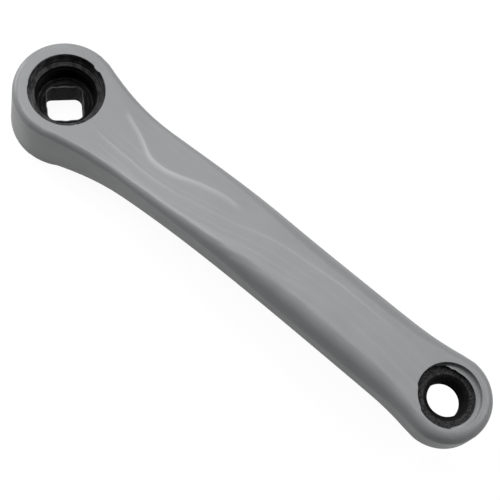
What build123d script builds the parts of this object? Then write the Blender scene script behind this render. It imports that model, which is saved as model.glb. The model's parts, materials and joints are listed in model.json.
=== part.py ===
from build123d import *
import os
from math import exp, radians, sqrt, tan

os.makedirs("parts", exist_ok=True)

# A left-hand bicycle crank arm: a black steel core with a grey plastic cover moulded round it.
# X runs from the spindle to the pedal, Z points away from the bicycle, and the back of the
# boss lies on Z = 0 with the spindle axis through the origin.

# Spindle end in millimetres, from the bore outwards, with depths from the front of the boss
boss_height = 25.5
square_flats = 12.73
square_taper = 2.0
square_corner_radius = 2.7
square_turn = 45.0
square_lead_in = 1.1
pilot_radius = 6.6
drill_point = 1.1
extractor_radius = 11.0
extractor_depth = 11.2
extractor_lead_in = 0.3
ledge_width = 1.7
ledge_depth = 4.0
mouth_taper = 1.1
mouth_wall = 1.2
mouth_lip = 0.7
boss_cover = 3.95
boss_flare = 0.3

# Pedal end, from the bore outwards
crank_length = 170.0
pedal_radius = 7.14
pedal_steel = 7.9
pedal_lead_in = 0.3
front_bare_ring = 3.02
front_recess_depth = 3.7
front_cove_width = 1.1
front_cove_depth = 2.9
back_bare_ring = 3.36
back_recess_depth = 0.3
recess_lap = 3.24
eye_cover = 2.8

# Arm in plan: how far it narrows from its two ends, and the radii that blend it into them
waist_step = 5.85
waist_blend_radius = 105.0
neck_step = 2.0
neck_blend_radius = 100.0

# Arm from the side: the front climbs to the pedal end, and the back flares down into the boss
front_rise = 8.4
rise_start = 20.0
rise_length = 68.0
flare_reach = 45.0
flare_power = 1.5
boss_ring_height = 9.0
boss_ring_inset = 0.1

# Edges of the cover: rounded at the front, most along the middle of the arm, and bevelled at the back
boss_edge_radius = 2.6
arm_edge_radius = 6.3
eye_edge_radius = 3.8
edge_swell_start = 35.0
edge_swell_length = 75.0
edge_fade_length = 30.0
back_bevel = 1.0

# Steel bar along the arm, and how deep it lies in the plastic
bar_side_cover = 4.2
bar_back_cover = 2.0

# Flash left by the mould on the mouth's rim: angle from X, length along the rim, reach inward
rim_flash = [(79.5, 3.2, 0.55), (-35.0, 1.0, 0.2), (-147.0, 2.4, 0.2)]

# Cutters run this far past the faces they open
cut_past = 2.0

# Radii and heights worked out from the sizes above
ledge_radius = extractor_radius + ledge_width
mouth_radius = ledge_radius + mouth_taper
core_boss_radius = mouth_radius + mouth_wall
boss_radius = core_boss_radius + boss_cover
core_front = boss_height - mouth_lip
ledge_height = boss_height - ledge_depth
shoulder_height = boss_height - extractor_depth
recess_radius = pedal_radius + front_bare_ring
core_eye_radius = recess_radius + recess_lap
eye_radius = core_eye_radius + eye_cover
eye_front = boss_height + front_rise
pedal_face = eye_front - front_recess_depth
pedal_back = pedal_face - pedal_steel
eye_back = pedal_back - back_recess_depth

# Where the plan's arcs meet, along X, and the cross sections that the lofts run through
waist_half_width = boss_radius - waist_step
waist_x = sqrt(waist_step * (boss_radius + waist_half_width + 2 * waist_blend_radius))
leave_x = waist_x * boss_radius / (boss_radius + waist_blend_radius)
neck_half_width = eye_radius - neck_step
neck_reach = sqrt(neck_step * (eye_radius + neck_half_width + 2 * neck_blend_radius))
neck_x = crank_length - neck_reach
join_x = crank_length - neck_reach * eye_radius / (eye_radius + neck_blend_radius)
station_count = 41
stations = [crank_length * n / (station_count - 1) for n in range(station_count)]

eye_axis = Axis((crank_length, 0, 0), (0, 0, -1))
eye_plane = Plane((crank_length, 0, 0), x_dir=(1, 0, 0), z_dir=(0, -1, 0))


def ease(start, length, x):
    """Climb smoothly from 0 at start to 1 a length further on."""
    t = min(max((x - start) / length, 0), 1)
    return t * t * (3 - 2 * t)


def boss_share(x):
    """How much of the boss's depth is left at x: 1 at the spindle, fading to 0 along the arm."""
    return exp(-((x / flare_reach) ** flare_power))


def half_width(x):
    """Half width at the front: boss circle, concave blend, straight taper, blend, eye circle."""
    if x < leave_x:
        return sqrt(boss_radius**2 - x**2)
    if x < waist_x:
        return waist_half_width + waist_blend_radius - sqrt(waist_blend_radius**2 - (waist_x - x) ** 2)
    if x < neck_x:
        return waist_half_width + (neck_half_width - waist_half_width) * (x - waist_x) / (neck_x - waist_x)
    if x < join_x:
        return neck_half_width + neck_blend_radius - sqrt(neck_blend_radius**2 - (x - neck_x) ** 2)
    return sqrt(eye_radius**2 - (crank_length - x) ** 2)


def front_height(x):
    return boss_height + front_rise * ease(rise_start, rise_length, x)


def back_height(x):
    return eye_back * (1 - boss_share(x))


def front_edge_radius(x):
    swell = (arm_edge_radius - boss_edge_radius) * ease(edge_swell_start, edge_swell_length, x)
    fade = (arm_edge_radius - eye_edge_radius) * ease(crank_length - edge_fade_length, edge_fade_length, x)
    return boss_edge_radius + swell - fade


def cover_section(x, whole=True):
    """Cross section of the covered arm at x, or only its half on the +Y side."""
    half = half_width(x)
    back_half = half + boss_flare * boss_share(x)
    low = back_height(x)
    high = front_height(x)
    with BuildSketch(Plane.YZ.offset(x)) as section:
        with BuildLine():
            Polyline((0, low), (back_half, low), (half, high), (0, high), close=True)
        make_face()
        fillet(section.vertices().group_by(Axis.Y)[-1].sort_by(Axis.X)[-1], front_edge_radius(x))
        chamfer(section.vertices().group_by(Axis.Y)[0].sort_by(Axis.X)[-1], back_bevel)
        if whole:
            mirror(about=Plane.YZ)
    return section.sketch


def bar_section(x):
    """Cross section of the steel bar at x."""
    width = 2 * (half_width(x) - bar_side_cover)
    low = back_height(x) + bar_back_cover
    high = front_height(x) - front_recess_depth
    with BuildSketch(Plane.YZ.offset(x)) as section:
        with Locations((0, (low + high) / 2)):
            Rectangle(width, high - low)
    return section.sketch


def square_flats_at(z):
    """Distance across the socket's flats at height z, widening towards the back on its taper."""
    return square_flats + 2 * (shoulder_height - z) * tan(radians(square_taper))


def square_section(z, flats):
    """Cross section of the square socket at height z."""
    with BuildSketch(Plane.XY.offset(z)) as section:
        RectangleRounded(flats, flats, square_corner_radius, rotation=square_turn)
    return section.sketch


# Outside of the cover before it is hollowed out: the arm, its two round ends and the boss's back
with BuildPart() as outer_form:
    for x in stations:
        add(cover_section(x))
    loft(ruled=True)
    add(cover_section(0, whole=False))
    revolve(axis=Axis.Z, revolution_arc=180)
    add(cover_section(crank_length, whole=False))
    revolve(axis=eye_axis, revolution_arc=180)
    with BuildSketch(Plane.XZ) as boss_ring:
        ring_radius = boss_radius + boss_flare - boss_ring_inset
        ring_top = (ring_radius - boss_flare * boss_ring_height / boss_height, boss_ring_height)
        with BuildLine():
            Polyline((0, 0), (ring_radius, 0), ring_top, (0, boss_ring_height), close=True)
        make_face()
        chamfer(boss_ring.vertices().group_by(Axis.Y)[0].sort_by(Axis.X)[-1], back_bevel)
    revolve(axis=Axis.Z)

# The forged steel blank that the plastic is moulded round
with BuildPart() as core_blank:
    for x in stations:
        add(bar_section(x))
    loft()
    with BuildSketch(Plane.XY):
        Circle(core_boss_radius)
    extrude(amount=core_front)
    with BuildSketch(Plane.XY.offset(pedal_back)):
        with Locations((crank_length, 0)):
            Circle(core_eye_radius)
    extrude(amount=pedal_steel)

with BuildPart() as steel_core:
    add(core_blank.part)
    # Mouth, ledge, extractor thread and drill point, all turned on the spindle axis
    with BuildSketch(Plane.XZ):
        with BuildLine():
            Polyline(
                (0, boss_height),
                (mouth_radius, boss_height),
                (mouth_radius, core_front),
                (ledge_radius, ledge_height),
                (extractor_radius + extractor_lead_in, ledge_height),
                (extractor_radius, ledge_height - extractor_lead_in),
                (extractor_radius, shoulder_height),
                (pilot_radius, shoulder_height - drill_point),
                (pilot_radius, -cut_past),
                (0, -cut_past),
                close=True,
            )
        make_face()
    revolve(axis=Axis.Z, mode=Mode.SUBTRACT)
    # Tapered square socket for the spindle, with a bevelled entry at the back
    add(square_section(-cut_past, square_flats_at(-cut_past)))
    add(square_section(shoulder_height, square_flats))
    loft(mode=Mode.SUBTRACT)
    add(square_section(0, square_flats_at(0) + 2 * square_lead_in))
    add(square_section(square_lead_in, square_flats_at(square_lead_in)))
    loft(mode=Mode.SUBTRACT)
    # Pedal thread, bevelled at both faces
    with BuildSketch(eye_plane):
        with BuildLine():
            Polyline(
                (0, pedal_back),
                (pedal_radius + pedal_lead_in, pedal_back),
                (pedal_radius, pedal_back + pedal_lead_in),
                (pedal_radius, pedal_face - pedal_lead_in),
                (pedal_radius + pedal_lead_in, pedal_face),
                (0, pedal_face),
                close=True,
            )
        make_face()
    revolve(axis=eye_axis, mode=Mode.SUBTRACT)
steel_core.part.label = "steel_core"
export_step(steel_core.part, "parts/steel_core.step")

with BuildPart() as plastic_cover:
    add(outer_form.part)
    add(core_blank.part, mode=Mode.SUBTRACT)
    # Mouth over the spindle's bolt, with its ragged flash
    with BuildSketch(Plane.XY.offset(core_front)):
        Circle(mouth_radius)
        for angle, length, reach in rim_flash:
            with PolarLocations(mouth_radius, 1, start_angle=angle):
                Ellipse(reach, length / 2, mode=Mode.SUBTRACT)
    extrude(amount=mouth_lip + cut_past, mode=Mode.SUBTRACT)
    # Recesses that leave the pedal eye's steel faces bare, the front one opening out in a cove
    cove_top_radius = recess_radius + front_cove_width
    with BuildSketch(eye_plane):
        with BuildLine():
            Polyline(
                (recess_radius, eye_front - front_cove_depth),
                (recess_radius, pedal_face),
                (0, pedal_face),
                (0, eye_front + cut_past),
                (cove_top_radius, eye_front + cut_past),
                (cove_top_radius, eye_front),
            )
            EllipticalCenterArc(
                (recess_radius, eye_front),
                front_cove_width,
                front_cove_depth,
                start_angle=270,
                arc_size=90,
            )
        make_face()
        with Locations((0, pedal_back)):
            Rectangle(
                pedal_radius + back_bare_ring, back_recess_depth + cut_past, align=(Align.MIN, Align.MAX)
            )
    revolve(axis=eye_axis, mode=Mode.SUBTRACT)
plastic_cover.part.label = "plastic_cover"
export_step(plastic_cover.part, "parts/plastic_cover.step")
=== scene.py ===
import json
from math import atan2, degrees, hypot, pi, radians

import bpy
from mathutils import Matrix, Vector


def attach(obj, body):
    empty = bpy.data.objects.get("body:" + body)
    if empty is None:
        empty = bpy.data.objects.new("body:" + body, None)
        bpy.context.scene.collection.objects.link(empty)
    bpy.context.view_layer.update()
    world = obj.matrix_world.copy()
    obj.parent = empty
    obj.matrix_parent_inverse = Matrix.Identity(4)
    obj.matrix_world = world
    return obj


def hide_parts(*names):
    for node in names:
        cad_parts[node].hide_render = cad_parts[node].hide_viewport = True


bl_info = {
    "name": "Crank Arm",
    "version": (1, 0, 0),
    "blender": (4, 5, 0),
    "location": "3D View > Sidebar > Crank Arm",
    "description": "Dresses a left-hand bicycle crank arm: steel core, moulded cover, threads and stage",
    "category": "Object",
}

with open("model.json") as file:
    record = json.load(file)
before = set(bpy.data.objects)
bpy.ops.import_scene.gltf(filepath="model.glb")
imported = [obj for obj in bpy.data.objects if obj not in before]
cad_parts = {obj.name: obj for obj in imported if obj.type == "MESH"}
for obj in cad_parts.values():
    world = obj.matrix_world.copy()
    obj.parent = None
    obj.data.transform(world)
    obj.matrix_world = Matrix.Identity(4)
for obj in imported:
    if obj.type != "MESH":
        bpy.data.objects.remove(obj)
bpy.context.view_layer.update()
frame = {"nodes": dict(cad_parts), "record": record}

CORE_NODE = "steel_core"
COVER_NODE = "plastic_cover"
BODY = "root"
MM = 0.001
MOUNTS = {mount["name"]: mount for mount in frame["record"]["mounts"]}

# Gaps that are closed: between the loose triangles of a copied node, in a swept thread and in a cut one
SEAM_GAP = 0.002 * MM
SWEEP_GAP = 0.001 * MM
CUT_GAP = 0.004 * MM

# Threads: how far the ridge is let into the wall, its width at the root as a share of the pitch and at the
# crest as a share of that, its faces in one turn and the angle above which its edges stay sharp
THREAD_BURY = 0.04 * MM
THREAD_ROOT = 0.9
THREAD_FLAT = 0.14
THREAD_FACES = 56
THREAD_SHARP = radians(30)

# Heights in mm where each thread is cut at its ends and where its sweep starts
EXTRACTOR_ENDS = (14.32, 19.9)
EXTRACTOR_START = 13.4
PEDAL_ENDS = (22.32, 29.6)
PEDAL_START = 21.763

# The recess round the pedal bore: its axis, the height that its points are scaled about, and how far from
# the axis they lie at most. Below, angles are in degrees round that axis, and heights are in mm
PEDAL_X = MOUNTS["pedal_thread"]["pos_m"][0]
LEDGE_HEIGHT = 31.0 * MM
RECESS_REACH = 11.7 * MM

# The cove where the lip runs out and the steel is bare up to the rim: the heights of its steps, then the
# first and last angle of each stretch and how much it widens every step, from the foot up
COVE_STEPS = (30.0, 31.005, 31.1, 31.35, 31.7, 32.05, 32.4, 33.3)
COVE_STRETCHES = (
    (142, 310, (1.107, 1.088, 1.065, 1.042, 1.026, 1.019, 1.006)),
    (130, 142, (1.085, 1.07, 1.05, 1.03)),
    (310, 318, (1.06, 1.055, 1.045, 1.03)),
)

# The lip and the rim: first and last angle, lowest and highest point, change of radius and of height
LIP_MOVES = (
    (318, 465, 30.5, 31.005, 0.987, 1.0),
    (105, 118, 30.5, 31.005, 1.022, 1.0),
    (118, 130, 30.0, 31.005, 1.075, 1.0),
    (318, 490, 31.005, 31.83, 1.016, 0.3),
    (310, 502, 31.83, 32.3, 1.014, 1.0),
    (246, 563, 31.005, 34.0, 1.027, 1.0),
    (246, 310, 30.0, 31.005, 1.027, 1.0),
    (142, 203, 30.0, 31.005, 1.027, 1.0),
    (203, 246, 30.0, 34.0, 0.985, 1.0),
)

# What is left of the lip is lifted last: first and last angle, lowest and highest point, shift in mm
LIP_LIFTS = (
    (318, 490, 31.005, 31.83, (0, 0, 0.8)),
    (318, 490, 30.5, 31.005, (0.2, -0.5, 0.8)),
    (130, 142, 30.5, 31.83, (0, 0, 0.3)),
    (310, 318, 30.5, 31.83, (0, 0, 0.3)),
)

# Countersink of the pedal bore: the bands that hold the bevel's rim and foot, then how they are moved
SINK_RIM = (0, 360, 30.1, 30.3)
SINK_FOOT = (0, 360, 29.8, 30.0)
SINK_WIDEN = 1.11
SINK_DEEPEN = 0.3 * MM

# Square socket: half its flat between the corners, its corner radius, the pilot hole's radius, its turn from
# the arm, the heights between which its upper edge starts to show bare, and how far the bare edge fades
SOCKET_FLAT = 3.665 * MM
SOCKET_CORNER = 2.7 * MM
SOCKET_PILOT = 6.6 * MM
SOCKET_TURN = radians(45)
SOCKET_EDGE_HEIGHTS = (12.4 * MM, 12.8 * MM)
SOCKET_EDGE_FADE = (0.1 * MM, 0.5 * MM)

# How bare the turned steel is in the bore, by height in mm on its walls and by radius on its floor, and how
# bare it is round the pedal bore, by radius, with the countersink kept black as painted shade. Each has the
# range that its ramp spans
BORE_HEIGHT_SPAN = (12, 25)
BORE_HEIGHTS = (
    (12.9, 0.01), (14.5, 0.02), (21.15, 0.03), (21.3, 0.3), (21.65, 0.3), (21.8, 0.35),
    (22.1, 0.1), (22.6, 0.8), (22.9, 0.15), (23.4, 0.8), (23.8, 0.1), (24.5, 0.4),
)
BORE_RADIUS_SPAN = (6, 12)
BORE_RADII = (
    (6.6, 0.08), (7.4, 0.03), (7.9, 0.04), (8.3, 0.26), (8.7, 0.04), (9.3, 0.02),
    (9.7, 0.22), (10.0, 0.02), (10.6, 0.0),
)
EYE_RADIUS_SPAN = (6, 9)
# Black out to 8.3 mm round the pedal bore, over the widened countersink: painted shade
EYE_RADII_AND_SINK_SHADE = ((7.1, 0.04), (7.9, 0.08), (8.3, 0.34))

# Where one look of the steel fades into the next: the bore's floor into its walls by height, and the boss
# into the pedal eye along the arm
FLOOR_FADE = (14.4 * MM, 14.6 * MM)
BOSS_FADE = (30 * MM, 60 * MM)

# Lines drawn on the front: two flow lines that the melt left, and a painted highlight along the near edge of
# the top face. How far from the middle of the arm they may run, then for each its points as (x, y) in mm, its
# strength along x, and how far in mm it fades on its far and its near side
LINE_REACH = 20.0
MAIN_LINE = (
    (10, 12.5), (22.2, 7.9), (27.0, 6.0), (33.2, 3.1), (37.0, 0.9), (40.3, -0.1), (45.0, -0.3),
    (49.6, 0.5), (54.6, 2.0), (59.0, 3.1), (65.1, 4.2), (69.9, 4.7), (73.9, 4.7), (90, 4.4),
)
MAIN_STRENGTH = (
    (10, 0.0), (20, 0.0), (23, 0.55), (32, 0.8), (38, 1.0), (47, 1.0), (54, 0.8), (66, 0.6),
    (72, 0.5), (77, 0.0), (90, 0.0),
)
MAIN_FADE = (0.6, 2.4)
LONG_LINE = (
    (10, -3.6), (22.0, -4.8), (34.0, -5.4), (43.2, -5.8), (53.5, -5.3), (61.2, -4.0), (70.3, -2.3),
    (76.6, -1.2), (87.9, 2.1), (97.2, 3.8), (103.1, 4.4), (113.4, 5.6), (127.4, 5.8), (139.9, 5.6),
    (145.6, 5.0), (160, 3.5),
)
LONG_STRENGTH = (
    (10, 0.0), (18, 0.1), (22, 0.45), (28, 0.5), (48, 0.4), (60, 0.15), (76, 0.2), (90, 0.3),
    (100, 0.3), (118, 0.4), (135, 0.25), (148, 0.0), (160, 0.0),
)
LONG_FADE = (0.5, 0.9)
# Painted highlight: a lighter band along the near edge of the top face, where its rounding starts
NEAR_EDGE_HIGHLIGHT = (
    (10, -11.2), (28.2, -10.4), (38.0, -10.2), (49.7, -10.4), (57.9, -10.6), (66.0, -9.9), (75.5, -8.7),
    (80.0, -7.8), (95, -6.2), (111, -3.4), (122, -2.4),
)
NEAR_EDGE_HIGHLIGHT_STRENGTH = (
    (10, 0.0), (24, 0.05), (34, 0.22), (60, 0.25), (76, 0.2), (90, 0.1), (104, 0.2), (116, 0.1),
    (122, 0.0),
)
NEAR_EDGE_HIGHLIGHT_FADE = (1.2, 2.8)

# Fine streaks beside the long line: how close they lie, per metre along the arm and per mm across it
STREAKS_ALONG = 9.0
STREAKS_ACROSS = 0.6

# Stage in metres: the middle of the floor, what the lights aim at, their size and places, and the camera
FLOOR_CENTRE = (0.08, 0, 0)
LIGHT_AIM = (0.08, 0, 0.02)
SOFTBOX_SIZE = 0.35
SOFTBOXES = (
    ("left_softbox", "left_power", (-0.2158, 0, 0.6544)),
    ("far_softbox", "far_power", (0.08, 0.2958, 0.6544)),
    ("low_softbox", "low_power", (-0.5961, 0, 0.2012)),
    ("corner_softbox", "corner_power", (-0.2992, 0.3792, 0.4700)),
    ("right_softbox", "right_power", (0.4592, 0.3792, 0.4700)),
)
CAMERA_PLACE = (0.127526, -0.171471, 0.487530)
CAMERA_TURN = (radians(18.58989), radians(-9.12057), radians(38.97747))
CAMERA_SENSOR = 36.0
CAMERA_LENS = 102.613
CAMERA_NEAR = 0.01


# Settings that a user would change


class CoverSettings(bpy.types.PropertyGroup):
    colour: bpy.props.FloatVectorProperty(
        name="Plastic colour", description="Colour of the moulded cover", subtype="COLOR", size=3,
        min=0.0, max=1.0, default=(0.335, 0.342, 0.350),
    )
    # Also the colour of the painted highlight along the near edge of the top face
    mark_and_highlight_colour: bpy.props.FloatVectorProperty(
        name="Flow mark colour", description="Colour where the plastic's flow left a lighter streak",
        subtype="COLOR", size=3, min=0.0, max=1.0, default=(0.500, 0.507, 0.515),
    )
    roughness: bpy.props.FloatProperty(
        name="Roughness", description="Roughness of the plastic", subtype="FACTOR",
        min=0.0, max=1.0, default=0.3,
    )
    smooth_angle: bpy.props.FloatProperty(
        name="Smoothing angle", description="Edges sharper than this stay sharp", subtype="ANGLE",
        default=radians(32),
    )


class SteelSettings(bpy.types.PropertyGroup):
    colour: bpy.props.FloatVectorProperty(
        name="Steel colour", description="Colour of the blackened steel", subtype="COLOR", size=3,
        min=0.0, max=1.0, default=(0.004, 0.004, 0.0045),
    )
    worn_colour: bpy.props.FloatVectorProperty(
        name="Worn colour", description="Colour where the blacking is thin", subtype="COLOR", size=3,
        min=0.0, max=1.0, default=(0.25, 0.244, 0.252),
    )
    edge_colour: bpy.props.FloatVectorProperty(
        name="Edge colour", description="Colour of the bare edge round the square socket",
        subtype="COLOR", size=3, min=0.0, max=1.0, default=(0.2, 0.2, 0.205),
    )
    smooth_angle: bpy.props.FloatProperty(
        name="Smoothing angle", description="Edges sharper than this stay sharp", subtype="ANGLE",
        default=radians(25),
    )


class ThreadSettings(bpy.types.PropertyGroup):
    extractor_crest: bpy.props.FloatProperty(
        name="Extractor crest radius", description="Radius at the crests of the extractor thread",
        unit="LENGTH", default=10.46 * MM,
    )
    extractor_pitch: bpy.props.FloatProperty(
        name="Extractor pitch", description="Rise of the extractor thread in one turn", unit="LENGTH",
        default=1.0 * MM,
    )
    pedal_crest: bpy.props.FloatProperty(
        name="Pedal crest radius", description="Radius at the crests of the pedal thread", unit="LENGTH",
        default=6.5 * MM,
    )
    pedal_pitch: bpy.props.FloatProperty(
        name="Pedal pitch", description="Rise of the pedal thread in one turn", unit="LENGTH",
        default=1.27 * MM,
    )


class StageSettings(bpy.types.PropertyGroup):
    floor_size: bpy.props.FloatProperty(
        name="Floor size", description="Side of the square floor", unit="LENGTH", default=6.0,
    )
    left_power: bpy.props.FloatProperty(
        name="Left light", description="Power of the softbox high over the spindle end", unit="POWER",
        default=1.74,
    )
    far_power: bpy.props.FloatProperty(
        name="Far light", description="Power of the softbox high over the far side", unit="POWER",
        default=0.99,
    )
    low_power: bpy.props.FloatProperty(
        name="Low light", description="Power of the softbox low beyond the spindle end", unit="POWER",
        default=1.52,
    )
    corner_power: bpy.props.FloatProperty(
        name="Corner light", description="Power of the softbox between the left and far ones", unit="POWER",
        default=0.72,
    )
    right_power: bpy.props.FloatProperty(
        name="Right light", description="Power of the softbox beyond the pedal end", unit="POWER",
        default=1.25,
    )
    fill: bpy.props.FloatProperty(
        name="Fill", description="Brightness of the room round the part", min=0.0, default=0.01,
    )


# Small helpers


def select_only(piece):
    bpy.ops.object.select_all(action="DESELECT")
    piece.select_set(True)
    bpy.context.view_layer.objects.active = piece


def link(tree, output, socket):
    tree.links.new(output, socket)


def new_material(name):
    material = bpy.data.materials.new(name)
    material.use_nodes = True
    tree = material.node_tree
    return material, tree, tree.nodes["Principled BSDF"]


def add_node(tree, kind, **settings):
    node = tree.nodes.new(kind)
    for key, value in settings.items():
        setattr(node, key, value)
    return node


def math(tree, operation, first, second=None, third=None):
    """A Math node; each input is a socket to link or a number to set."""
    node = add_node(tree, "ShaderNodeMath", operation=operation)
    for index, value in enumerate((first, second, third)):
        if value is None:
            continue
        if isinstance(value, (int, float)):
            node.inputs[index].default_value = value
        else:
            link(tree, value, node.inputs[index])
    return node.outputs[0]


def length_of(tree, first, second):
    squares = [math(tree, "MULTIPLY", side, side) for side in (first, second)]
    return math(tree, "SQRT", math(tree, "ADD", *squares))


def ramp(tree, factor, stops):
    """A Color Ramp with (place, colour) stops."""
    node = add_node(tree, "ShaderNodeValToRGB")
    elements = node.color_ramp.elements
    while len(elements) < len(stops):
        elements.new(0.5)
    for element, (place, colour) in zip(elements, stops):
        element.position = place
        element.color = (*colour, 1.0)
    link(tree, factor, node.inputs["Fac"])
    return node.outputs["Color"]


def noise(tree, vector, scale, detail=3.0, roughness=0.55):
    node = add_node(tree, "ShaderNodeTexNoise")
    node.inputs["Scale"].default_value = scale
    node.inputs["Detail"].default_value = detail
    node.inputs["Roughness"].default_value = roughness
    link(tree, vector, node.inputs["Vector"])
    return node.outputs["Fac"]


def stretch(tree, vector, scale, turn=0.0):
    node = add_node(tree, "ShaderNodeMapping")
    node.inputs["Scale"].default_value = scale
    node.inputs["Rotation"].default_value = (0, 0, turn)
    link(tree, vector, node.inputs["Vector"])
    return node.outputs["Vector"]


def map_range(tree, value, low, high, to_low, to_high, smooth=True):
    """A value between low and high carried over to one between to_low and to_high."""
    node = add_node(tree, "ShaderNodeMapRange", interpolation_type="SMOOTHSTEP" if smooth else "LINEAR")
    for name, number in (("From Min", low), ("From Max", high), ("To Min", to_low), ("To Max", to_high)):
        node.inputs[name].default_value = number
    link(tree, value, node.inputs["Value"])
    return node.outputs["Result"]


def grey_ramp(tree, value, span, stops):
    """A Color Ramp of greys over a span of lengths in mm, with (place, grey) stops."""
    low, high = span
    share = map_range(tree, value, low * MM, high * MM, 0.0, 1.0, smooth=False)
    return ramp(tree, share, [((place - low) / (high - low), (grey,) * 3) for place, grey in stops])


def mix_colour(tree, factor, first, second):
    node = add_node(tree, "ShaderNodeMix", data_type="RGBA")
    link(tree, factor, node.inputs[0])
    for socket, value in ((node.inputs[6], first), (node.inputs[7], second)):
        if isinstance(value, bpy.types.NodeSocket):
            link(tree, value, socket)
        else:
            socket.default_value = (*value, 1.0)
    return node.outputs[2]


def shaded(colour, factor):
    return tuple(channel * factor for channel in colour)


def bump(tree, height, strength, distance, normal=None):
    node = add_node(tree, "ShaderNodeBump")
    node.inputs["Strength"].default_value = strength
    node.inputs["Distance"].default_value = distance
    link(tree, height, node.inputs["Height"])
    if normal is not None:
        link(tree, normal, node.inputs["Normal"])
    return node.outputs["Normal"]


def parts_of(tree, vector):
    """The three coordinates of a vector apart."""
    parts = add_node(tree, "ShaderNodeSeparateXYZ")
    link(tree, vector, parts.inputs[0])
    return tuple(parts.outputs)


def place_from(tree, x, y=None, z=None):
    """A vector put together from the coordinates that are given."""
    place = add_node(tree, "ShaderNodeCombineXYZ")
    for socket, value in zip(place.inputs, (x, y, z)):
        if value is not None:
            link(tree, value, socket)
    return place.outputs[0]


def object_place(tree):
    return add_node(tree, "ShaderNodeTexCoord").outputs["Object"]


# Plastic


def along_arm(tree, x, points, low, high):
    """A value that changes along x as the points say, drawn as a Float Curve between low and high."""
    first, last = points[0][0], points[-1][0]
    curve = add_node(tree, "ShaderNodeFloatCurve")
    line = curve.mapping.curves[0]
    while len(line.points) < len(points):
        line.points.new(0.5, 0.5)
    for point, (place, value) in zip(line.points, points):
        point.location = ((place - first) / (last - first), (value - low) / (high - low))
    curve.mapping.update()
    share = map_range(tree, x, first * MM, last * MM, 0.0, 1.0, smooth=False)
    link(tree, share, curve.inputs["Value"])
    return math(tree, "MULTIPLY_ADD", curve.outputs["Value"], high - low, low)


def beside_line(tree, x, y, points, wander):
    """How far a point lies beyond one of the drawn lines (the flow lines and the painted near-edge
    highlight), in mm, towards the far side of the arm.
    """
    line = along_arm(tree, x, points, -LINE_REACH, LINE_REACH)
    off = math(tree, "SUBTRACT", math(tree, "MULTIPLY", y, 1 / MM), line)
    return math(tree, "ADD", off, wander)


def line_streak(tree, off, fade, strength):
    """A lighter streak along a line, for the flow marks and the painted near-edge highlight: crisp on its far
    side, fading softly on its near side.
    """
    crisp, soft = fade
    far = map_range(tree, off, 0.0, crisp, 1.0, 0.0)
    near = map_range(tree, off, -soft, 0.0, 0.0, 1.0)
    return math(tree, "MULTIPLY", math(tree, "MULTIPLY", far, near), strength)


def fine_streaks(tree, x, y, long_off):
    """Faint streaks that follow the long flow line, mostly on the near part and clear of the boss."""
    along = math(tree, "MULTIPLY", x, STREAKS_ALONG)
    across = math(tree, "MULTIPLY", long_off, STREAKS_ACROSS)
    lines = noise(tree, place_from(tree, along, across), scale=1.0, detail=1.0)
    streaks = map_range(tree, lines, 0.48, 0.7, 0.0, 1.0)
    near_part = map_range(tree, y, -2.0 * MM, 5.0 * MM, 1.0, 0.15)
    by_boss = map_range(tree, x, 70 * MM, 130 * MM, 0.22, 0.12)
    clear_of_boss = map_range(tree, x, 14 * MM, 32 * MM, 0.0, 1.0)
    fine = math(tree, "MULTIPLY", streaks, math(tree, "MULTIPLY", near_part, by_boss))
    return math(tree, "MULTIPLY", fine, clear_of_boss)


def on_front(tree):
    """1 on faces that look to the front, 0 on the sides and the back."""
    normal = add_node(tree, "ShaderNodeNewGeometry").outputs["Normal"]
    return map_range(tree, parts_of(tree, normal)[2], 0.6, 0.9, 0.0, 1.0)


def plastic_tone(tree, place, x, main_off, long_off, colour):
    """Faintly mottled grey, a little darker on the strip beyond the flow lines."""
    mottle = noise(tree, stretch(tree, place, (60, 150, 110)), scale=1.0, detail=2.0)
    base = ramp(tree, mottle, [(0.30, shaded(colour, 0.985)), (0.50, colour), (0.70, shaded(colour, 1.012))])
    beyond = []
    for off, start, end, to_start, to_end in (
        (main_off, 70 * MM, 88 * MM, 1.0, 0.0),
        (long_off, 80 * MM, 96 * MM, 0.0, 1.0),
    ):
        past = map_range(tree, off, 0.2, 2.0, 0.0, 1.0)
        beyond.append(math(tree, "MULTIPLY", past, map_range(tree, x, start, end, to_start, to_end)))
    far_strip = math(tree, "MULTIPLY", math(tree, "MAXIMUM", *beyond), 0.8)
    return mix_colour(tree, far_strip, base, shaded(colour, 0.93))


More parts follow.
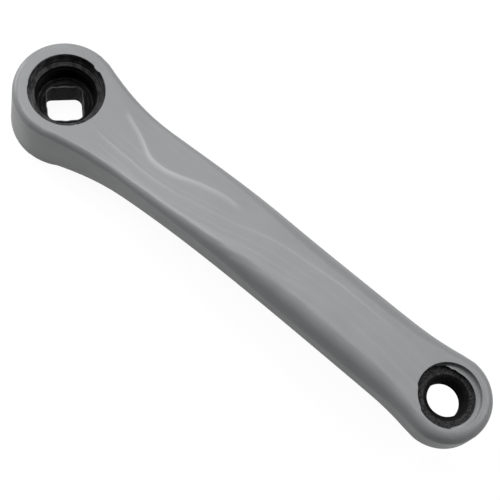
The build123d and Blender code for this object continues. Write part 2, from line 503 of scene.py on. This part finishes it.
def plastic_finish(settings):
    """Grey moulded plastic: flow marks, fine streaks that follow them, a painted highlight along the near
    edge of the top face, a faint mottle and a grain.
    """
    material, tree, shader = new_material("grey_moulded_plastic")
    place = object_place(tree)
    x, y, _ = parts_of(tree, place)
    wander = math(tree, "MULTIPLY_ADD", noise(tree, place, scale=90.0, detail=2.0), 1.0, -0.5)
    main_off, long_off, near_highlight_off = [
        beside_line(tree, x, y, line, wander) for line in (MAIN_LINE, LONG_LINE, NEAR_EDGE_HIGHLIGHT)
    ]
    marks = fine_streaks(tree, x, y, long_off)
    # The near-edge line paints a highlight along the near edge of the top face; the other two are flow marks
    for off, fade, strength in (
        (main_off, MAIN_FADE, MAIN_STRENGTH),
        (long_off, LONG_FADE, LONG_STRENGTH),
        (near_highlight_off, NEAR_EDGE_HIGHLIGHT_FADE, NEAR_EDGE_HIGHLIGHT_STRENGTH),
    ):
        mark = line_streak(tree, off, fade, along_arm(tree, x, strength, 0.0, 1.0))
        marks = math(tree, "MAXIMUM", marks, mark)
    marks = math(tree, "MULTIPLY", marks, on_front(tree))
    tone = plastic_tone(tree, place, x, main_off, long_off, tuple(settings.colour))
    marked = mix_colour(tree, marks, tone, tuple(settings.mark_and_highlight_colour))
    link(tree, marked, shader.inputs["Base Color"])
    waves = noise(tree, stretch(tree, place, (120, 260, 200)), scale=1.0, detail=2.0)
    rough = settings.roughness
    link(tree, map_range(tree, waves, 0.3, 0.7, rough - 0.01, rough + 0.07), shader.inputs["Roughness"])
    grain = noise(tree, place, scale=2600.0, detail=3.0)
    soft = bump(tree, waves, strength=0.2, distance=0.1 * MM)
    grained = bump(tree, grain, strength=0.18, distance=0.05 * MM, normal=soft)
    link(tree, grained, shader.inputs["Normal"])
    shader.inputs["Specular IOR Level"].default_value = 0.5
    return material


# Steel


def socket_edge(tree, place, reach, z):
    """How close a point lies to the upper edge of the square socket: 1 on it, 0 a little away from it."""
    turned = stretch(tree, place, (1, 1, 1), turn=SOCKET_TURN)
    sides = []
    for side in parts_of(tree, turned)[:2]:
        past = math(tree, "SUBTRACT", math(tree, "ABSOLUTE", side), SOCKET_FLAT)
        sides.append(math(tree, "MAXIMUM", past, 0.0))
    beside_square = math(tree, "SUBTRACT", length_of(tree, *sides), SOCKET_CORNER)
    beside_pilot = math(tree, "SUBTRACT", reach, SOCKET_PILOT)
    beside = math(tree, "MINIMUM", beside_square, beside_pilot)
    at_top = map_range(tree, z, *SOCKET_EDGE_HEIGHTS, 0.0, 1.0)
    return math(tree, "MULTIPLY", map_range(tree, beside, *SOCKET_EDGE_FADE, 1.0, 0.0), at_top)


def bareness_and_sink_shade(tree, x, y, z, wandering, ragged, at_boss):
    """How bare the steel is: in bands on the bore's walls and floor, evenly round the pedal bore, where the
    countersink is kept black as painted shade.
    """
    uneven_height = math(tree, "ADD", z, math(tree, "MULTIPLY", ragged, 0.5))
    on_walls = grey_ramp(tree, uneven_height, BORE_HEIGHT_SPAN, BORE_HEIGHTS)
    on_floor = grey_ramp(tree, wandering, BORE_RADIUS_SPAN, BORE_RADII)
    in_bore = mix_colour(tree, map_range(tree, z, *FLOOR_FADE, 1.0, 0.0), on_walls, on_floor)
    pedal_reach = length_of(tree, math(tree, "SUBTRACT", x, PEDAL_X), y)
    at_eye_and_sink_shade = grey_ramp(tree, pedal_reach, EYE_RADIUS_SPAN, EYE_RADII_AND_SINK_SHADE)
    return mix_colour(tree, at_boss, at_eye_and_sink_shade, in_bore)


def steel_finish(settings):
    """Blackened steel: ragged turned rings round the spindle's bore, a rough skin on the pedal eye, and
    painted shade that keeps its countersink black.
    """
    material, tree, shader = new_material("blackened_steel")
    place = object_place(tree)
    x, y, z = parts_of(tree, place)
    reach = length_of(tree, x, y)
    ragged = math(tree, "MULTIPLY_ADD", noise(tree, place, scale=240.0, detail=3.0), 1.2 * MM, -0.6 * MM)
    wandering = math(tree, "ADD", reach, ragged)
    rings = noise(tree, place_from(tree, wandering, z=z), scale=1150.0, detail=3.0, roughness=0.6)
    skin = noise(tree, place, scale=1500.0, detail=4.0, roughness=0.6)
    patches = noise(tree, place, scale=330.0, detail=3.0)
    at_boss = map_range(tree, x, *BOSS_FADE, 1.0, 0.0)
    marks = mix_colour(tree, at_boss, skin, rings)
    # The bareness also keeps the pedal bore's countersink black: painted shade
    bare = bareness_and_sink_shade(tree, x, y, z, wandering, ragged, at_boss)
    less_at_eye = map_range(tree, x, *BOSS_FADE, 1.0, 0.2)
    patchy = math(tree, "MULTIPLY_ADD", map_range(tree, patches, 0.35, 0.62, -0.4, 0.45), less_at_eye, 0.85)
    near_side = math(tree, "MULTIPLY_ADD", map_range(tree, y, -9 * MM, 9 * MM, 0.5, 0.0), at_boss, 0.9)
    wear_and_sink_shade = map_range(tree, marks, 0.38, 0.6, 0.3, 1.0)
    for factor in (patchy, near_side, bare):
        wear_and_sink_shade = math(tree, "MULTIPLY", wear_and_sink_shade, factor)
    blacking_with_sink_shade = mix_colour(tree, wear_and_sink_shade, tuple(settings.colour), tuple(settings.worn_colour))
    edge = socket_edge(tree, place, reach, z)
    edge = math(tree, "MULTIPLY", edge, map_range(tree, patches, 0.3, 0.6, 0.4, 1.0))
    link(tree, mix_colour(tree, edge, blacking_with_sink_shade, tuple(settings.edge_colour)), shader.inputs["Base Color"])
    link(tree, map_range(tree, marks, 0.3, 0.7, 0.38, 0.6), shader.inputs["Roughness"])
    link(tree, bump(tree, marks, strength=0.8, distance=0.16 * MM), shader.inputs["Normal"])
    shader.inputs["Specular IOR Level"].default_value = 0.03
    return material


def finish_named(name):
    material = bpy.data.materials.get(name)
    if material is None:
        raise RuntimeError("the finish " + name + " has to be made before the piece that wears it")
    return material


# Pieces


def merged_copy(node, name):
    """A copy of a CAD node with its loose triangles merged."""
    select_only(frame["nodes"][node])
    bpy.ops.object.duplicate()
    piece = bpy.context.active_object
    piece.name = name
    for key in [key for key in piece.keys() if key.startswith("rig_")]:
        del piece[key]
    piece.parent = None
    select_only(piece)
    bpy.ops.mesh.customdata_custom_splitnormals_clear()
    bpy.ops.object.mode_set(mode="EDIT")
    bpy.ops.mesh.select_all(action="SELECT")
    bpy.ops.mesh.remove_doubles(threshold=SEAM_GAP)
    bpy.ops.object.mode_set(mode="OBJECT")
    return piece


def smooth_faces(piece, angle):
    bpy.ops.object.shade_smooth_by_angle(angle=angle)
    even = piece.modifiers.new("even_normals", "WEIGHTED_NORMAL")
    even.keep_sharp = True
    bpy.ops.object.modifier_apply(modifier=even.name)


def pick_band(piece, first, last, low, high):
    """In edit mode, select the vertices round the pedal bore between two angles and two heights in mm."""
    bpy.ops.mesh.select_mode(type="VERT")
    bpy.ops.mesh.select_all(action="DESELECT")
    bpy.ops.object.mode_set(mode="OBJECT")
    for vertex in piece.data.vertices:
        along, across, height = vertex.co.x - PEDAL_X, vertex.co.y, vertex.co.z / MM
        inside = hypot(along, across) < RECESS_REACH and low < height < high
        vertex.select = inside and (degrees(atan2(across, along)) - first) % 360 < last - first
    bpy.ops.object.mode_set(mode="EDIT")


def scale_band(piece, band, widen, heighten=1.0):
    """In edit mode, widen a band about the pedal axis and stretch it about the ledge's height."""
    pick_band(piece, *band)
    bpy.ops.transform.resize(value=(widen, widen, heighten), center_override=(PEDAL_X, 0, LEDGE_HEIGHT))


def shift_band(piece, band, shift):
    pick_band(piece, *band)
    bpy.ops.transform.translate(value=shift)


def sink_pedal_bore(core):
    """Open the pedal bore's front bevel out to a countersink: its rim wider, its foot deeper."""
    bpy.ops.object.mode_set(mode="EDIT")
    scale_band(core, SINK_RIM, SINK_WIDEN)
    shift_band(core, SINK_FOOT, (0, 0, -SINK_DEEPEN))
    bpy.ops.object.mode_set(mode="OBJECT")


def shape_recess(cover):
    """Draw the recess's cove out to a thin lip, which runs out where the steel is bare up to the rim."""
    bpy.ops.object.mode_set(mode="EDIT")
    for first, last, widths in COVE_STRETCHES:
        for low, high, widen in zip(COVE_STEPS, COVE_STEPS[1:], widths):
            scale_band(cover, (first, last, low, high), widen)
    for *band, widen, heighten in LIP_MOVES:
        scale_band(cover, band, widen, heighten)
    for *band, lift in LIP_LIFTS:
        shift_band(cover, band, Vector(lift) * MM)
    bpy.ops.object.mode_set(mode="OBJECT")


class CRANK_OT_core(bpy.types.Operator):
    """Make the steel core: a merged copy of its solid with a countersunk pedal bore, blackened"""

    bl_idname = "crank.core"
    bl_label = "Make the steel core"

    def execute(self, context):
        settings = context.scene.crank_steel
        core = merged_copy(CORE_NODE, "forged_core")
        sink_pedal_bore(core)
        smooth_faces(core, settings.smooth_angle)
        core.data.materials.clear()
        core.data.materials.append(steel_finish(settings))
        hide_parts(CORE_NODE)
        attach(core, BODY)
        return {"FINISHED"}


class CRANK_OT_cover(bpy.types.Operator):
    """Make the moulded cover: a merged, smoothly shaded copy of its solid with a lip in the pedal recess"""

    bl_idname = "crank.cover"
    bl_label = "Make the moulded cover"

    def execute(self, context):
        settings = context.scene.crank_cover
        cover = merged_copy(COVER_NODE, "moulded_cover")
        shape_recess(cover)
        smooth_faces(cover, settings.smooth_angle)
        cover.data.materials.clear()
        cover.data.materials.append(plastic_finish(settings))
        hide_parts(COVER_NODE)
        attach(cover, BODY)
        return {"FINISHED"}


def add_profile(name, centre, crest, depth, pitch):
    """The outline of a thread's ridge, beside the axis: as wide as its root, with a narrow crest."""
    bpy.ops.object.select_all(action="DESELECT")
    bpy.ops.mesh.primitive_plane_add(size=1.0, location=centre, rotation=(pi / 2, 0, 0))
    profile = bpy.context.active_object
    profile.name = name
    bpy.ops.object.transform_apply(location=False, rotation=True, scale=True)
    bpy.ops.object.mode_set(mode="EDIT")
    bpy.ops.mesh.select_all(action="SELECT")
    bpy.ops.transform.resize(value=(depth, 1, THREAD_ROOT * pitch), center_override=centre)
    bpy.ops.transform.translate(value=(crest + depth / 2, 0, 0))
    bpy.ops.mesh.select_all(action="DESELECT")
    bpy.ops.object.mode_set(mode="OBJECT")
    for vertex in profile.data.vertices:
        vertex.select = vertex.co.x < crest + depth / 2
    bpy.ops.object.mode_set(mode="EDIT")
    bpy.ops.mesh.select_mode(type="VERT")
    bpy.ops.transform.resize(value=(1, 1, THREAD_FLAT), center_override=centre)
    bpy.ops.object.mode_set(mode="OBJECT")
    return profile


def cut_ends(axis_x, low, high):
    """Cut the active ridge flush at both ends and close it."""
    bpy.ops.object.mode_set(mode="EDIT")
    bpy.ops.mesh.select_all(action="SELECT")
    bpy.ops.mesh.remove_doubles(threshold=SWEEP_GAP)
    for height, side in ((low, -1), (high, 1)):
        bpy.ops.mesh.select_all(action="SELECT")
        bpy.ops.mesh.bisect(
            plane_co=(axis_x, 0, height), plane_no=(0, 0, side), clear_outer=True, threshold=SWEEP_GAP,
        )
    bpy.ops.mesh.select_all(action="SELECT")
    bpy.ops.mesh.remove_doubles(threshold=CUT_GAP)
    bpy.ops.mesh.dissolve_degenerate(threshold=SWEEP_GAP)
    bpy.ops.mesh.select_all(action="DESELECT")
    bpy.ops.mesh.select_mode(type="EDGE")
    bpy.ops.mesh.select_non_manifold(extend=False)
    bpy.ops.mesh.fill_holes(sides=0)
    bpy.ops.mesh.select_all(action="SELECT")
    bpy.ops.mesh.normals_make_consistent(inside=False)
    bpy.ops.object.mode_set(mode="OBJECT")


def cut_thread(name, axis_x, wall, crest, pitch, low, high, start, left_hand):
    """A helical ridge on the wall of a bore: a profile swept by a Screw modifier, then cut at both ends."""
    depth = wall + THREAD_BURY - crest
    ridge = add_profile(name, Vector((axis_x, 0, start)), crest, depth, pitch)
    turns = (high - start) / pitch + 1
    sweep = ridge.modifiers.new("helix", "SCREW")
    sweep.axis = "Z"
    sweep.angle = -2 * pi * turns if left_hand else 2 * pi * turns
    sweep.screw_offset = pitch * turns
    sweep.iterations = 1
    sweep.steps = sweep.render_steps = int(round(THREAD_FACES * turns))
    sweep.use_smooth_shade = True
    bpy.ops.object.modifier_apply(modifier=sweep.name)
    bpy.ops.object.transform_apply(location=True, rotation=True, scale=True)
    cut_ends(axis_x, low, high)
    bpy.ops.object.shade_smooth_by_angle(angle=THREAD_SHARP)
    ridge.data.materials.clear()
    ridge.data.materials.append(finish_named("blackened_steel"))
    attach(ridge, BODY)


class CRANK_OT_threads(bpy.types.Operator):
    """Cut the two threads: the extractor's in the spindle bore and the left-hand one for the pedal"""

    bl_idname = "crank.threads"
    bl_label = "Cut the threads"

    def execute(self, context):
        settings = context.scene.crank_threads
        for name, mount_name, crest, pitch, ends, start, left_hand in (
            ("extractor_thread_ridge", "extractor_thread", settings.extractor_crest, settings.extractor_pitch,
             EXTRACTOR_ENDS, EXTRACTOR_START, False),
            ("pedal_thread_ridge", "pedal_thread", settings.pedal_crest, settings.pedal_pitch,
             PEDAL_ENDS, PEDAL_START, True),
        ):
            mount = MOUNTS[mount_name]
            wall = mount["dims"]["r_mm"] * MM
            low, high = (end * MM for end in ends)
            cut_thread(name, mount["pos_m"][0], wall, crest, pitch, low, high, start * MM, left_hand)
        return {"FINISHED"}


# Stage


def floor_finish():
    """White paper floor: white to the camera, a little dimmer in reflections, and it takes the shadow."""
    material = bpy.data.materials.new("white_floor")
    material.use_nodes = True
    tree = material.node_tree
    tree.nodes.clear()
    path = add_node(tree, "ShaderNodeLightPath")
    paper = add_node(tree, "ShaderNodeBsdfDiffuse")
    paper.inputs["Color"].default_value = (0.75, 0.75, 0.75, 1)
    shown = paper.outputs[0]
    for ray, strength in (("Is Camera Ray", 0.95), ("Is Glossy Ray", 0.55)):
        shade = add_node(tree, "ShaderNodeBsdfDiffuse")
        shade.inputs["Color"].default_value = (0.12, 0.12, 0.12, 1)
        glow = add_node(tree, "ShaderNodeEmission")
        glow.inputs["Strength"].default_value = strength
        lit = add_node(tree, "ShaderNodeAddShader")
        link(tree, shade.outputs[0], lit.inputs[0])
        link(tree, glow.outputs[0], lit.inputs[1])
        choice = add_node(tree, "ShaderNodeMixShader")
        link(tree, path.outputs[ray], choice.inputs[0])
        link(tree, shown, choice.inputs[1])
        link(tree, lit.outputs[0], choice.inputs[2])
        shown = choice.outputs[0]
    output = add_node(tree, "ShaderNodeOutputMaterial")
    link(tree, shown, output.inputs["Surface"])
    return material


def add_softbox(name, power, location):
    bpy.ops.object.select_all(action="DESELECT")
    bpy.ops.object.light_add(type="AREA", location=location)
    lamp = bpy.context.active_object
    lamp.name = name
    lamp.data.shape = "SQUARE"
    lamp.data.size = SOFTBOX_SIZE
    lamp.data.energy = power
    aim = Vector(LIGHT_AIM) - Vector(location)
    lamp.rotation_euler = aim.to_track_quat("-Z", "Y").to_euler()


def add_camera():
    bpy.ops.object.camera_add(location=CAMERA_PLACE, rotation=CAMERA_TURN)
    camera = bpy.context.active_object
    camera.name = "camera"
    camera.data.sensor_width = CAMERA_SENSOR
    camera.data.lens = CAMERA_LENS
    camera.data.clip_start = CAMERA_NEAR
    return camera


class CRANK_OT_stage(bpy.types.Operator):
    """Set the white floor, the soft lights and the camera"""

    bl_idname = "crank.stage"
    bl_label = "Set the stage"

    def execute(self, context):
        settings = context.scene.crank_stage
        scene = context.scene
        bpy.ops.object.select_all(action="DESELECT")
        bpy.ops.mesh.primitive_plane_add(size=settings.floor_size, location=FLOOR_CENTRE)
        floor = context.active_object
        floor.name = "floor"
        floor.data.materials.append(floor_finish())
        for name, power, location in SOFTBOXES:
            add_softbox(name, getattr(settings, power), location)
        world = bpy.data.worlds.new("pale_room")
        world.use_nodes = True
        room = world.node_tree.nodes["Background"]
        room.inputs["Color"].default_value = (1, 1, 1, 1)
        room.inputs["Strength"].default_value = settings.fill
        scene.world = world
        scene.camera = add_camera()
        scene.view_settings.view_transform = "Standard"
        return {"FINISHED"}


class CRANK_PT_panel(bpy.types.Panel):
    """Lists the steps that dress the crank arm"""

    bl_idname = "CRANK_PT_panel"
    bl_label = "Crank Arm"
    bl_space_type = "VIEW_3D"
    bl_region_type = "UI"
    bl_category = "Crank Arm"

    def draw(self, context):
        for step in STEPS:
            self.layout.operator(step.bl_idname)
        for group, kind in SETTINGS.items():
            for name in kind.__annotations__:
                self.layout.prop(getattr(context.scene, group), name)


SETTINGS = {
    "crank_cover": CoverSettings,
    "crank_steel": SteelSettings,
    "crank_threads": ThreadSettings,
    "crank_stage": StageSettings,
}
STEPS = (CRANK_OT_core, CRANK_OT_cover, CRANK_OT_threads, CRANK_OT_stage)
CLASSES = (*SETTINGS.values(), *STEPS, CRANK_PT_panel)


def register():
    for item in CLASSES:
        bpy.utils.register_class(item)
    for group, kind in SETTINGS.items():
        setattr(bpy.types.Scene, group, bpy.props.PointerProperty(type=kind))


def unregister():
    for group in SETTINGS:
        delattr(bpy.types.Scene, group)
    for item in reversed(CLASSES):
        bpy.utils.unregister_class(item)


def main():
    register()
    bpy.ops.crank.core()
    bpy.ops.crank.cover()
    bpy.ops.crank.threads()
    bpy.ops.crank.stage()


if __name__ == "__main__":
    main()
